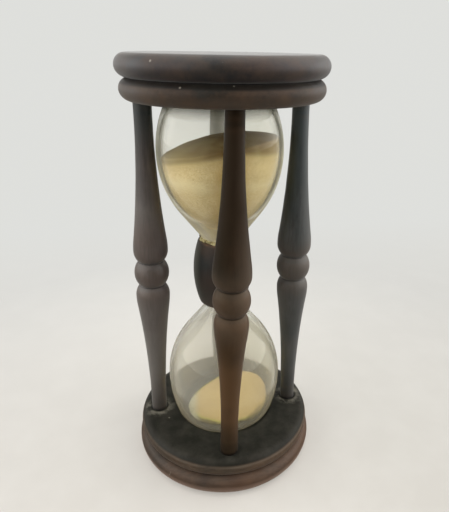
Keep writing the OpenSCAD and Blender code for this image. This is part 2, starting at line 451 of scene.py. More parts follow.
grainGroup, given, out = newGroup(
    "woodGrain",
    [("Vector", "Vector", None), ("Fibre Scale", "Float", 900.0), ("Figure Scale", "Float", 60.0)],
    ["Fibre", "Figure", "Pores"])
fibre = clouds(given["Vector"], given["Fibre Scale"], 5, Roughness=0.65)
figure = clouds(given["Vector"], given["Figure Scale"], 3, Distortion=0.6)
pores = ramp(fibre, (0.28, 0.0), (0.42, 1.0))
giveOut(out, {"Fibre": fibre, "Figure": figure, "Pores": pores})

wearGroup, given, out = newGroup(
    "handWear",
    [("Vector", "Vector", None), ("Rubbed", "Float", 0.0), ("Amount", "Float", 0.6)],
    ["Worn", "Scratches", "Specks", "Patches"])
patches = clouds(given["Vector"], 110.0, 6, Roughness=0.7)
worn = maths("MULTIPLY", multiply(given["Rubbed"], given["Amount"]),
             ramp(patches, (0.35, 0.15), (0.62, 1.0)), clamp=True)
bent = addNode("TexNoise", {"Vector": given["Vector"], "Scale": 60.0, "Detail": 2})
away = mixColour(0.04, given["Vector"], bent.outputs["Color"])
stretched = addNode("Mapping", {
    "Vector": away, "Rotation": (0.4, 0.5, 0.3), "Scale": (1.0, 1.0, 0.09)}).outputs[0]
lines, _ = cells(stretched, 210.0)
rare = clouds(given["Vector"], 75.0, 1)
scratches = multiply(ramp(lines, (0.035, 1.0), (0.07, 0.0)),
                     ramp(rare, (0.6, 0.0), (0.68, 1.0)))
dots, picks = cells(given["Vector"], 95.0)
specks = multiply(ramp(dots, (0.035, 1.0), (0.06, 0.0)),
                  ramp(picks[0], (0.86, 0.0), (0.9, 1.0)))
giveOut(out, {"Worn": worn, "Scratches": scratches, "Specks": specks, "Patches": patches})

dustGroup, given, out = newGroup(
    "settledDust",
    [("Vector", "Vector", None), ("Normal", "Vector", None), ("Amount", "Float", 0.3)],
    ["Dust"])
patches = clouds(given["Vector"], 90.0, 7, Roughness=0.7)
up = ramp(split(given["Normal"])["Z"], (0.35, 0.0), (0.95, 1.0))
dust = maths("MULTIPLY", multiply(up, given["Amount"]),
             ramp(patches, (0.38, 0.1), (0.66, 1.0)), clamp=True)
giveOut(out, {"Dust": dust})


# wood

postCircle = (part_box("post_right")[0].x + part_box("post_right")[1].x) / 2
footZ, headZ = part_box("bottom_inner_disc")[1].z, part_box("top_inner_disc")[0].z
beadMid = (footZ + headZ) / 2


def woodColour(place, facing, grain, drift, blotch, look):
    spot, turned = split(place), split(facing)
    z, up = spot["Z"], turned["Z"]
    patchy = ramp(blotch, (0.3, 0.6), (0.6, 1.0))
    # painted light and shade by the side a surface faces: the slants between which it comes in, its tones and
    # strengths
    start, end = look["sideLightAndShadeSlants"]
    rightPaintedTone, rightPaintedMost = look["rightLightAndShade"]
    leftPaintedTone, leftPaintedMost = look["leftLightAndShade"]
    # painted light in a band at one height
    heldZ, heldMost = look["held"]
    fromBandLight = maths("ABSOLUTE", maths("SUBTRACT", z, heldZ))
    # painted shade close above each post's foot
    footShadeFar, footShadeNear = look["footShadeReach"]
    # painted shade close under each post's head, under the top disc
    headShadeFar, headShadeNear = look["headShadeReach"]
    # level faces, which take painted shade, gather dust and wear less
    level = multiply(ramp(up, (0.42, 0.0), (0.6, 1.0)), look["levelShadeAndDust"])
    edge = ramp(up, (0.22, 0.0), (0.34, 1.0), (0.4, 1.0), (0.52, 0.0))
    # over the wood's own colour, coat by coat: tones of age, hands and dust, and painted light and shade on
    # faces that look down, by side, in a band at one height, at the posts' tops, feet and heads, and on level
    # faces: each coat's tone, and what lets it show
    coats = [
        (look["cool"], ramp(drift, (0.42, 0.9), (0.56, 0.0)), look["coolness"]),
        (look["pore"], ramp(grain["Fibre"], (0.3, 0.55), (0.6, 0.0))),
        (look["red"], ramp(blotch, (0.5, 0.0), (0.72, 1.0)), look["redness"]),
        (look["grey"], band(z, *look["fadedZ"], look["faded"]),
         ramp(drift, (0.35, 0.4), (0.6, 1.0))),
        # painted shade on faces that look down on the top outer disc, and painted light on those of the other
        # discs and the barrel
        (look["underLightAndShadeTone"], band(up, look["underLightAndShadeFrom"], -0.75, look["under"])),
        # painted light on sides that face right; on sides that face left, painted shade on the front post and
        # painted light on the discs and the barrel
        (rightPaintedTone, band(turned["X"], start, end, rightPaintedMost), patchy),
        (leftPaintedTone, band(turned["X"], -start, -end, leftPaintedMost), patchy),
        (look["lowTone"], band(z, *look["low"]), ramp(blotch, (0.3, 0.3), (0.6, 1.0))),
        # painted light in a band at one height: a painted highlight round the bead on the front and right
        # posts, and lighter wood high on the left post
        (look["heldTone"], band(fromBandLight, *look["heldReach"], heldMost, soft=True),
         ramp(drift, (0.4, 0.3), (0.6, 1.0))),
        # painted shade under the top disc darkens the tops of the left and front posts; on the right and rear
        # posts the tone there is painted light, paler and cooler
        (look["topLightAndShadeTone"], band(z, *look["topLightAndShadeZ"], look["topLightAndShade"]),
         ramp(drift, (0.3, 0.6), (0.6, 1.0))),
        # painted shade close above each post's foot
        (look["footShadeTone"], band(z, footZ + footShadeFar, footZ + footShadeNear, look["footShade"])),
        # painted shade close under each post's head, under the top disc
        (look["headShadeTone"], band(z, headZ - headShadeFar, headZ - headShadeNear, look["headShade"])),
        # painted shade on level faces that lie under the discs above them
        (look["face"], level),
        (look["edgeTone"], multiply(edge, look["edgeLine"]),
         ramp(drift, (0.35, 0.3), (0.55, 1.0))),
    ]
    figure = ramp(grain["Figure"], (0.32, 0.0), (0.68, 1.0))
    colour = mixColour(figure, look["dark"], look["brown"])
    for tone, *masks in coats:
        colour = lay(colour, tone, *masks)
    return colour, level


def woodMaterial(name, look):
    material, tree, place, shader = newMaterial(name)
    facing = addNode("NewGeometry", tree=tree).outputs["Normal"]
    along = addNode("Mapping", {"Vector": place, "Scale": look["grain"]}).outputs[0]
    rubbed, hollow = attribute(tree, "rubbed"), attribute(tree, "hollow")
    fibres = {"Vector": along, "Fibre Scale": look["fibre"], "Figure Scale": look["figure"]}
    touched = {"Vector": place, "Rubbed": rubbed, "Amount": look["wear"]}
    settled = {"Vector": place, "Normal": facing, "Amount": look["dust"]}
    grain, wear, dust = [addNode("Group", inputs, node_tree=group).outputs for inputs, group in (
        (fibres, grainGroup), (touched, wearGroup), (settled, dustGroup))]
    dust = dust["Dust"]
    drift = clouds(place, 24.0, 4, Distortion=0.4)
    blotch = clouds(place, look["blotch"], 3)
    colour, level = woodColour(place, facing, grain, drift, blotch, look)
    # darker in the corner round each post's foot, and dust that gathers beside it; the reach is in centimetres
    flatPlace = vectorMaths("ABSOLUTE", vectorMaths("MULTIPLY", place, (1, 1, 0)))
    reach = [multiply(vectorMaths("DISTANCE", flatPlace, spot), 100.0)
             for spot in ((postCircle, 0, 0), (0, postCircle, 0))]
    gathered = multiply(ramp(reach[0], (0.44, 0.0), (0.56, 1.0), (1.0, 0.0)),
                        ramp(wear["Patches"], (0.45, 0.0), (0.6, 1.0)), level, 0.55)
    dust = maths("MAXIMUM", dust, gathered)
    corner = ramp(maths("MINIMUM", *reach), (0.44, 1.0), (0.54, 0.0))
    darkened = maths("MAXIMUM", multiply(corner, look["darkened"]), hollow)
    if look["standing"]:
        start, end = look["standing"]
        foot = band(split(place)["Z"], footZ + start, footZ + end)
        darkened = maths("MAXIMUM", darkened, foot)
    worn = multiply(wear["Worn"], maths("SUBTRACT", 1.0, multiply(level, 0.85)))
    marks = maths("MAXIMUM", multiply(wear["Scratches"], 0.6), wear["Specks"])
    for tone, *masks in (("bare", worn), ("markTone", marks), ("dustTone", dust), ("darkenedTone", darkened, 0.9)):
        colour = lay(colour, look[tone], *masks)
    setFinish(shader, colour, {"Specular IOR Level": look["shine"], "Specular Tint": look["mirror"],
                                     "Sheen Weight": look["sheen"], "Sheen Roughness": 0.4})
    rough = mixColour(grain["Fibre"], grey(look["rough"] - 0.07), grey(look["rough"] + 0.09))
    rough = lay(rough, grey(0.62), ramp(drift, (0.45, 0.0), (0.62, 0.45)))
    flat = ramp(split(facing)["Z"], (0.8, 0.0), (0.97, 0.85))
    rough = lay(rough, grey(look["faceRough"]), flat)
    rough = lay(rough, grey(0.75), maths("MAXIMUM", dust, wear["Worn"]))
    link(rough, shader.inputs["Roughness"])
    height = maths("SUBTRACT", multiply(grain["Pores"], 0.5), wear["Scratches"])
    addBump(shader, maths("ADD", height, multiply(blotch, 1.2)), 0.35, 0.0002)
    return material


# tones, how strongly each one shows, and the heights or slants between which it comes in
darkStain = {
    "dark": (0.009, 0.011, 0.010, 1), "brown": (0.029, 0.018, 0.014, 1), "pore": (0.005, 0.004, 0.004, 1),
    "grain": (1.0, 1.0, 0.07), "fibre": 900.0, "figure": 75.0, "blotch": 32.0,
    "cool": (0.008, 0.016, 0.017, 1), "coolness": 0.8,
    "red": (0.083, 0.040, 0.021, 1), "redness": 0.5,
    "grey": (0.075, 0.068, 0.06, 1), "faded": 0.0, "fadedZ": (0.15, 0.05),
    # painted light and shade: tones for faces that look down and for sides
    "underLightAndShadeTone": (0.004, 0.005, 0.008, 1), "under": 0.0, "underLightAndShadeFrom": 0.1,
    "rightLightAndShade": (grey(0), 0.0), "leftLightAndShade": (grey(0), 0.0), "sideLightAndShadeSlants": (-0.1, 0.75),
    "lowTone": (0.1, 0.055, 0.026, 1), "low": (0.0, -0.1, 0.0),
    # painted light and shade: a band at one height, the posts' tops, feet and heads, and level faces
    "heldTone": (0.105, 0.08, 0.06, 1), "held": (0.0, 0.0), "heldReach": (0.024, 0.004),
    "topLightAndShadeTone": (0.011, 0.02, 0.021, 1), "topLightAndShade": 0.0, "topLightAndShadeZ": (0.135, 0.185),
    "footShadeTone": (0.013, 0.010, 0.006, 1), "footShade": 0.0, "footShadeReach": (0.022, 0.003),
    "headShadeTone": (0.004, 0.003, 0.002, 1), "headShade": 0.0, "headShadeReach": (0.010, 0.002),
    "face": (0.006, 0.007, 0.004, 1), "levelShadeAndDust": 0.0,
    "edgeTone": (0.13, 0.11, 0.085, 1), "edgeLine": 0.0,
    "bare": (0.14, 0.078, 0.044, 1), "wear": 0.6, "markTone": (0.27, 0.24, 0.2, 1),
    "dustTone": (0.3, 0.28, 0.23, 1), "dust": 0.08,
    "darkenedTone": (0.003, 0.0025, 0.002, 1), "darkened": 0.0, "standing": None,
    "rough": 0.36, "faceRough": 0.7, "shine": 0.5, "mirror": grey(1), "sheen": 0.25,
}
postWoods = {
    "left": {
        "dark": (0.07, 0.056, 0.052, 1), "brown": (0.115, 0.088, 0.08, 1), "redness": 0.4, "coolness": 0.35,
        "grey": (0.165, 0.155, 0.14, 1), "faded": 0.8, "rightLightAndShade": ((0.085, 0.064, 0.06, 1), 0.5),
        "heldTone": (0.16, 0.15, 0.138, 1), "held": (0.15, 0.5), "topLightAndShadeTone": (0.012, 0.024, 0.025, 1),
        "topLightAndShade": 0.9, "topLightAndShadeZ": (0.164, 0.191), "footShade": 0.4, "mirror": grey(0.9),
    },
    "front": {
        "dark": (0.011, 0.009, 0.005, 1), "brown": (0.04, 0.027, 0.016, 1), "coolness": 0.3,
        "low": (0.125, 0.08, 0.85), "rightLightAndShade": ((0.1, 0.075, 0.058, 1), 0.75),
        "leftLightAndShade": ((0.010, 0.008, 0.004, 1), 0.75), "held": (beadMid, 0.9),
        "topLightAndShadeTone": (0.022, 0.014, 0.009, 1), "topLightAndShade": 0.9, "topLightAndShadeZ": (0.12, 0.155), "footShade": 0.9,
        "headShade": 0.8, "shine": 0.2, "sheen": 0.04, "mirror": (0.45, 0.35, 0.22, 1),
    },
    "right": {
        "dark": (0.04, 0.048, 0.05, 1), "brown": (0.075, 0.076, 0.074, 1), "redness": 0.1,
        "cool": (0.03, 0.044, 0.046, 1), "grey": (0.1, 0.097, 0.09, 1), "faded": 0.75,
        "rightLightAndShade": ((0.085, 0.087, 0.085, 1), 0.6), "held": (beadMid, 0.4),
        "topLightAndShadeTone": (0.057, 0.074, 0.08, 1), "topLightAndShade": 0.85, "footShade": 0.6, "mirror": grey(0.75),
    },
    "rear": {
        "brown": (0.04, 0.032, 0.028, 1), "redness": 0.25, "faded": 0.75,
        "topLightAndShadeTone": (0.15, 0.146, 0.125, 1), "topLightAndShade": 1.0,
    },
}
discWoods = {
    "topOuterDisc": {
        "brown": (0.03, 0.024, 0.024, 1), "redness": 0.2, "underLightAndShadeTone": (0.002, 0.003, 0.005, 1),
        "under": 0.9, "sideLightAndShadeSlants": (0.6, 0.95), "leftLightAndShade": ((0.11, 0.115, 0.12, 1), 0.8),
        "rightLightAndShade": ((0.11, 0.115, 0.12, 1), 0.7), "faceRough": 0.3, "shine": 0.38,
        "mirror": (0.82, 0.86, 0.95, 1),
    },
    "topInnerDisc": {
        "brown": (0.052, 0.038, 0.028, 1), "coolness": 0.5, "fibre": 940.0,
        "underLightAndShadeTone": (0.09, 0.072, 0.056, 1), "under": 0.7, "sideLightAndShadeSlants": (0.6, 0.95),
        "leftLightAndShade": ((0.11, 0.105, 0.1, 1), 0.8), "rightLightAndShade": ((0.11, 0.1, 0.095, 1), 0.8),
        "face": (0.002, 0.002, 0.002, 1), "levelShadeAndDust": 0.9, "shine": 0.22, "sheen": 0.1, "mirror": grey(0.7),
    },
    "baseInnerDisc": {
        "dark": (0.05, 0.038, 0.026, 1), "brown": (0.1, 0.074, 0.052, 1), "coolness": 0.35,
        "underLightAndShadeTone": (0.13, 0.095, 0.065, 1), "under": 0.7, "face": (0.008, 0.008, 0.005, 1), "levelShadeAndDust": 1.0,
        "edgeLine": 0.4, "wear": 0.35, "darkened": 0.5, "shine": 0.15, "sheen": 0.04,
    },
    "baseOuterDisc": {
        "dark": (0.038, 0.027, 0.018, 1), "brown": (0.085, 0.052, 0.035, 1), "redness": 0.8, "coolness": 0.4,
        "fibre": 860.0, "underLightAndShadeTone": (0.5, 0.34, 0.26, 1), "under": 0.9, "underLightAndShadeFrom": 0.22, "shine": 0.22,
        "sheen": 0.1,
    },
}
barrelWood = {
    "dark": (0.010, 0.011, 0.009, 1), "redness": 0.35, "underLightAndShadeTone": (0.09, 0.08, 0.065, 1), "under": 0.9,
    "underLightAndShadeFrom": 0.0, "sideLightAndShadeSlants": (0.8, 0.97), "leftLightAndShade": ((0.07, 0.075, 0.06, 1), 0.8), "wear": 1.0,
    "rough": 0.5, "shine": 0.25, "sheen": 0.12,
}

# end discs

discSettings = {"steps": 160, "rimSteps": 36, "inset": 0.15, "seatR": 27.6, "seatDepth": 3.5, "seatSteps": 96,
                "grain": (0.07, 1.0, 1.0), "wobble": 0.25, "dents": 0.12}


def discOutline(radius, thick):
    # a flat disc with a fully rounded rim, as (radius, height) in millimetres
    half = thick / 2
    flat = radius - half
    rings = [flat * share for share in (0.0, 0.12, 0.3, 0.5, 0.68, 0.82, 0.92, 0.97)]
    return ([(r, 0) for r in rings] + arcPoints(flat, half, half, -90, 90, discSettings["rimSteps"])
            + [(r, thick) for r in reversed(rings)])


dentTexture = cloudTexture("dents", 0.011, 2)
wobbleTexture = cloudTexture("wobble", 0.05)


def shift(piece, texture, strength, middle=0.5):
    # pushes the surface in and out by a texture, by so many millimetres in all
    applyModifier(piece, "DISPLACE", texture=texture, texture_coords="LOCAL", strength=strength * mm,
                  mid_level=middle)


def roughen(piece, settings):
    shift(piece, wobbleTexture, settings["wobble"])
    shift(piece, dentTexture, settings["dents"])


# each disc, and the height of its face that has the seat for a bulb
d = discSettings
for node, name, seatZ in (("bottom_outer_disc", "baseOuterDisc", None),
                          ("bottom_inner_disc", "baseInnerDisc", footZ),
                          ("top_inner_disc", "topInnerDisc", headZ),
                          ("top_outer_disc", "topOuterDisc", None)):
    low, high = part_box(node)
    radius = (high.x - low.x) / 2 / mm - d["inset"]
    disc = turnPiece(name, discOutline(radius, (high.z - low.z) / mm), d["steps"])
    settle(disc, Matrix.Translation((0, 0, low.z)))
    if seatZ:
        bpy.ops.mesh.primitive_cylinder_add(vertices=d["seatSteps"], radius=d["seatR"] * mm,
                                            depth=2 * d["seatDepth"] * mm, location=(0, 0, seatZ))
        carve(disc, bpy.context.active_object, "DIFFERENCE")
    roughen(disc, d)
    for v in disc.data.vertices:
        v.co.z = min(max(v.co.z, low.z), high.z)
    smooth(disc, 30)
    wood = woodMaterial(name + "Wood", {**darkStain, "grain": d["grain"], **discWoods[name]})
    finishPiece(disc, wood, "dark_wood", node)
print("discs made")

# posts

postSettings = {
    "beadD": 18.0, "beadH": 13.6, "grooveD": 13.0, "shoulderH": 5.9, "crownR": 45.0, "taper": 7.5,
    "tenonD": 6.0, "tenonL": 8.0, "steps": 72, "wobble": 0.3, "dents": 0.15,
    "footDarkened": (0.0022, 0.0004),
}
# turned by hand, so each differs a little: end and swell widths below and above the bead, how far the bead
# sits below the middle, and how far the foot and the head stand off their places
postForms = {
    "left": {"ends": (8.4, 8.9), "swells": (17.7, 17.7), "beadDrop": 0.9, "off": (0.0, 0.1)},
    "front": {"ends": (9.4, 8.5), "swells": (17.0, 18.4), "beadDrop": -0.5, "off": (-1.6, 0.8)},
    "right": {"ends": (8.3, 8.6), "swells": (17.0, 18.1), "beadDrop": 1.1, "off": (-0.3, -0.2)},
    "rear": {"ends": (8.3, 8.4), "swells": (17.4, 17.5), "beadDrop": 0.6, "off": (0.0, 0.0)},
}


def halfPost(length, endD, swellD):
    # from the end at -length up to the bead's groove at 0
    p = postSettings
    swell, drop = swellD / 2, (swellD - p["grooveD"]) / 2
    shoulderR = (p["shoulderH"] ** 2 + drop ** 2) / (2 * drop)
    shoulderTurn = math.degrees(math.asin(p["shoulderH"] / shoulderR))
    taper = math.radians(p["taper"])
    foot = (endD / 2, -length)
    top = (swell - p["crownR"] * (1 - math.cos(taper)), -p["shoulderH"] - p["crownR"] * math.sin(taper))
    bend = taper - math.atan2(top[0] - foot[0], top[1] - foot[1])
    return (bowPoints(foot, top, bend, 34)
            + arcPoints(swell - p["crownR"], -p["shoulderH"], p["crownR"], -p["taper"], 0, 6)
            + arcPoints(swell - shoulderR, -p["shoulderH"], shoulderR, 0, shoulderTurn, 14))


def postOutline(length, form):
    p = postSettings
    beadZ = length / 2 - form["beadDrop"]
    low, high = beadZ - p["beadH"] / 2, beadZ + p["beadH"] / 2
    drop = (p["beadD"] - p["grooveD"]) / 2
    beadR = ((p["beadH"] / 2) ** 2 + drop ** 2) / (2 * drop)
    beadTurn = math.degrees(math.asin(p["beadH"] / 2 / beadR))
    below = [(x, z + low) for x, z in halfPost(low, form["ends"][0], form["swells"][0])]
    bead = arcPoints(p["beadD"] / 2 - beadR, beadZ, beadR, -beadTurn, beadTurn, 22)
    above = [(x, high - z) for x, z in reversed(halfPost(length - high, form["ends"][1], form["swells"][1]))]
    tenon = [(0, -p["tenonL"]), (p["tenonD"] / 2, -p["tenonL"]), (p["tenonD"] / 2, 0)]
    return tenon + below + bead + above + [(x, length - z) for x, z in reversed(tenon)]


for side, form in postForms.items():
    node = "post_" + side
    low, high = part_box(node)
    footOff, headOff = form["off"]
    post = turnPiece(side + "Post", postOutline((headZ - footZ) / mm, form), postSettings["steps"])
    tilt = Matrix.Rotation(math.atan2((headOff - footOff) * mm, headZ - footZ), 4, "Y")
    foot = Vector(((low.x + high.x) / 2 + footOff * mm, (low.y + high.y) / 2, footZ))
    settle(post, Matrix.Translation(foot) @ tilt)
    roughen(post, postSettings)
    smooth(post, 40)
    look = {**darkStain, "standing": postSettings["footDarkened"], **postWoods[side]}
    finishPiece(post, woodMaterial(side + "PostWood", look), "dark_wood", node)
print("posts made")

# glass

glassSettings = {"wall": 2.0, "neckR": 6.0, "neckWall": 1.7, "flare": 3.0, "fillet": 8.0, "edge": 7.0,
                 "belly": 31.45, "orificeT": 0.8, "padT": 1.0, "padR": 20.0, "lean": 0.65, "steps": 128,
                 "wobble": 0.3}
bulbSettings = {
    "lower": {"bellyH": 25.0, "endR": 60.0, "flankR": 45.0, "cone": 38.7, "neck": 13.4},
    "upper": {"bellyH": 26.8, "endR": 53.0, "flankR": 52.0, "cone": 36.9, "neck": 10.5},
}


def bulbShape(which, inner):
    s = {**glassSettings, **bulbSettings[which], "end": 0.0}
    if inner:
        for key in ("belly", "endR", "flankR", "edge"):
            s[key] -= s["wall"]
        s["cone"] += s["flare"]
        s["neckR"] -= s["neckWall"]
        s["fillet"] += s["wall"]
        s["end"] = s["wall"]
    return s


def neckHeight(s):
    a = math.radians(s["cone"])
    x, z = s["belly"] - s["flankR"] * (1 - math.cos(a)), s["bellyH"] + s["flankR"] * math.sin(a)
    return z + (s["fillet"] - (s["neckR"] + s["fillet"] - x) * math.cos(a)) / math.sin(a)


def bulbOutline(s, top, grow=0.0, fine=1):
    edgeZ = s["end"] + s["edge"]
    edgeX = s["belly"] - s["endR"] + math.sqrt((s["endR"] - s["edge"]) ** 2 - (s["bellyH"] - edgeZ) ** 2)
    edgeTurn = math.degrees(math.asin((s["bellyH"] - edgeZ) / (s["endR"] - s["edge"])))
    base = s["end"] - grow
    flat = [(edgeX * share, base) for share in (0.0, 0.15, 0.35, 0.55, 0.75, 0.9)]
    return (flat + arcPoints(edgeX, edgeZ, s["edge"] + grow, -90, -edgeTurn, 14 * fine)
            + arcPoints(s["belly"] - s["endR"], s["bellyH"], s["endR"] + grow, -edgeTurn, 0, 8 * fine)
            + arcPoints(s["belly"] - s["flankR"], s["bellyH"], s["flankR"] + grow, 0, s["cone"], 16 * fine)
            + arcPoints(s["neckR"] + s["fillet"], neckHeight(s), s["fillet"] - grow, 180 + s["cone"], 180,
                        8 * fine)
            + [(s["neckR"] + grow, top)])


lowerLength = neckHeight(bulbShape("lower", False)) + bulbSettings["lower"]["neck"]
upperLength = neckHeight(bulbShape("upper", False)) + bulbSettings["upper"]["neck"]
upperStart = lowerLength + glassSettings["orificeT"]
glassLength = upperStart + upperLength
# the bulb's flat end lies on the pad, whose lowest corner the lean sets down
leanTurn = math.radians(glassSettings["lean"])
padRise = glassSettings["padT"] * math.cos(leanTurn) + glassSettings["padR"] * math.sin(leanTurn)
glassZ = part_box("lower_pad")[0].z + padRise * mm
glassPlace = Matrix.Translation((0, 0, glassZ)) @ Matrix.Rotation(-leanTurn, 4, "Y")
turnedOver = Matrix.Translation((0, 0, glassLength * mm)) @ Matrix.Rotation(math.pi, 4, "X")


def glassMaterial(name, look):
    material, tree, place, shader = newMaterial(name)
    spot = split(place)
    film = clouds(place, 45.0, 8, Roughness=0.65)
    tint = mixColour(ramp(film, (0.3, 0.0), (0.7, 1.0)), *look["tints"])
    tint = lay(tint, look["rightTint"], band(spot["X"], *look["rightX"]))
    setFinish(shader, tint, {"Transmission Weight": look["clear"], "IOR": 1.48,
                                   "Specular Tint": look["mirror"], "Roughness": look["rough"]})
    addBump(shader, clouds(place, 55.0, 1), 0.12, 0.001)
    # a thin dusty film that shows most where the glass is seen edge on, with a darker one over the shoulder
    slant = addNode("LayerWeight", {"Blend": 0.5}, tree).outputs["Facing"]
    thick = maths("ADD", band(spot["Y"], *look["rearY"], look["rearFilm"], look["film"]),
                  ramp(slant, (0.5, 0.0), (0.92, look["edgeFilm"])))
    tone = mixColour(ramp(slant, (0.4, 0.0), (0.9, 1.0)), look["filmColour"], look["edgeColour"])
    shoulder = band(spot["Z"], *look["shoulderZ"])
    tone = lay(tone, look["shoulderColour"], shoulder)
    thick = maths("ADD", thick, multiply(shoulder, look["shoulderFilm"]))
    # dust settles low in each bulb
    high, low, most = look["low"]
    settled = multiply(band(spot["Z"], high, low, most, soft=True),
                       ramp(slant, (0.12, look["lowFacing"]), (0.5, 1.0)))
    tone = lay(tone, look["lowColour"], maths("DIVIDE", settled, most))
    thick = multiply(maths("ADD", thick, settled), ramp(film, (0.25, 0.75), (0.75, 1.25)))
    dustFilm = mixShaders(0.55, addNode("BsdfDiffuse", {"Color": tone}).outputs[0],
                          addNode("BsdfTranslucent", {"Color": tone}).outputs[0])
    dusty = mixShaders(thick, shader.outputs[0], dustFilm)
    # shadows and soft light pass straight through
    through = addNode("BsdfTransparent", {"Color": look["shade"]}, tree).outputs[0]
    seen = addNode("LightPath", tree=tree).outputs
    straight = maths("MAXIMUM", seen["Is Shadow Ray"], seen["Is Diffuse Ray"])
    showShader(mixShaders(straight, dusty, through))
    return material


clearGlass = {
    "rightX": (-0.004, 0.022), "rearY": (-0.015, 0.02),
    "shoulderZ": (0.1896, 0.1942), "shoulderFilm": 0.45, "shoulderColour": (0.2, 0.2, 0.155, 1),
}
glassLooks = {
    "lower": {
        "clear": 0.94, "rough": 0.07, "mirror": grey(0.45), "shade": (0.88, 0.88, 0.84, 1),
        "tints": ((0.925, 0.92, 0.875, 1), (0.955, 0.95, 0.915, 1)), "rightTint": (0.845, 0.835, 0.755, 1),
        "film": 0.06, "rearFilm": 0.18, "filmColour": (0.8, 0.76, 0.64, 1),
        "edgeFilm": 0.3, "edgeColour": (0.58, 0.54, 0.44, 1),
        "low": (0.05, 0.028, 0.05), "lowColour": (0.4, 0.34, 0.22, 1), "lowFacing": 1.0,
    },
    "upper": {
        "clear": 1.0, "rough": 0.03, "mirror": grey(0.2), "shade": (0.95, 0.95, 0.92, 1),
        "tints": ((0.985, 0.985, 0.95, 1), (1.0, 0.995, 0.975, 1)), "rightTint": (0.95, 0.945, 0.89, 1),
        "film": 0.003, "rearFilm": 0.17, "filmColour": (0.96, 0.95, 0.86, 1),
        "edgeFilm": 0.8, "edgeColour": (0.6, 0.6, 0.47, 1),
        "low": (0.152, 0.118, 0.68), "lowColour": (0.97, 0.93, 0.78, 1), "lowFacing": 0.25,
    },
}
for which, length in (("lower", lowerLength), ("upper", upperLength)):
    outer = bulbOutline(bulbShape(which, False), length)
    inner = bulbOutline(bulbShape(which, True), length)
    glass = turnPiece(which + "Glass", outer + list(reversed(inner)), glassSettings["steps"])
    settle(glass, glassPlace if which == "lower" else glassPlace @ turnedOver)
    shift(glass, wobbleTexture, glassSettings["wobble"])
    smooth(glass, 50)
    look = {**clearGlass, **glassLooks[which]}
    finishPiece(glass, glassMaterial(which + "Glass", look), "glass", which + "_bulb")
print("glass made")

# sand

sandSettings = {
    "gap": 0.35,        # to the glass
    "short": 0.5,       # of the neck's end
    "steps": 96,
    "heapSteps": (160, 120),
    "upper": {"heapR": 84.0, "heapTop": (12.4, -6.0, 73.3), "long": 1.0, "wide": 1.0, "turn": 0.0,
              "voxel": 0.7, "lumps": 0.3, "floorZ": upperStart},
    "lower": {"heapR": 100.0, "heapTop": (17.0, 6.0, 6.3), "long": 1.23, "wide": 0.67, "turn": 21.0,
              "voxel": 0.38, "lumps": 0.25, "floorZ": glassSettings["wall"]},
}


def pouredLineAndShadeTones(tree, place, spot, drift, sway, colour, look):
    # a thin pale layer poured in between, and a painted shadow of the front post in a stripe down the side that
    # faces it
    lineZ, tone = look["line"]
    fromLine = maths("ABSOLUTE", maths("SUBTRACT", maths("ADD", spot["Z"], sway), lineZ))
    colour = lay(colour, tone, ramp(fromLine, (0.0003, 0.6), (0.0009, 0.0)))
    most, tone = look["postShadow"]
    beside = maths("ABSOLUTE", maths("ADD", spot["X"], sway))
    colour = lay(colour, tone, band(beside, 0.012, 0.003, most, soft=True),
                 band(spot["Y"], 0.0, -0.01))
    # painted shade of the top disc, darker towards the heap's own top, though less so to the right, where it
    # slopes away
    cloudy = ramp(clouds(place, 75.0, 5, Distortion=0.8), (0.38, 0.0), (0.6, 1.0))
    sunk = band(spot["X"], 0.004, 0.022, 4.5)
    for start, end, swing, tones, most in look["topShadeLayers"]:
        level = maths("ADD", attribute(tree, "depth"), waver(drift, swing))
        onTop = band(maths("SUBTRACT", level, sunk), start, end, most, soft=True)
        colour = lay(colour, mixColour(cloudy, *tones), onTop)
    # tan to the right, painted light that makes it paler at the far edge, and greener down in the neck
    for name, *masks in (
            ("rightTan", band(spot["X"], 0.008, 0.024)),
            ("farEdgeLight", band(maths("ADD", spot["Y"], sway), 0.001, 0.021)),
            ("farthestLight", band(spot["Y"], 0.014, 0.021), band(spot["X"], 0.012, 0.004)),
            ("neck", band(spot["Z"], 0.142, 0.12))):
        most, tone = look[name]
        colour = lay(colour, tone, *masks, most)
    return colour, onTop


def rimTones(tree, place, spot, drift, sway, colour, look):
    # yellow where the heap thins out over the glass, and dark against the front wall
    rim = maths("ADD", attribute(tree, "thinness"), waver(drift, look["rimSway"]))
    thin = ramp(rim, (0.38, 0.0), (0.5, 1.0))
    colour = lay(colour, look["thin"], thin, 0.9)
    most, tone = look["rimDark"]
    colour = lay(colour, tone, ramp(rim, (0.54, 0.0), (0.64, most)))
    start, end, tone, most = look["wallRing"]
    fromAxis = vectorMaths("LENGTH", vectorMaths("MULTIPLY", place, (1, 1, 0)))
    ring = band(maths("ADD", fromAxis, multiply(sway, 0.5)), start, end, most, soft=True)
    return lay(colour, tone, ring, band(spot["Y"], -0.009, -0.016)), thin


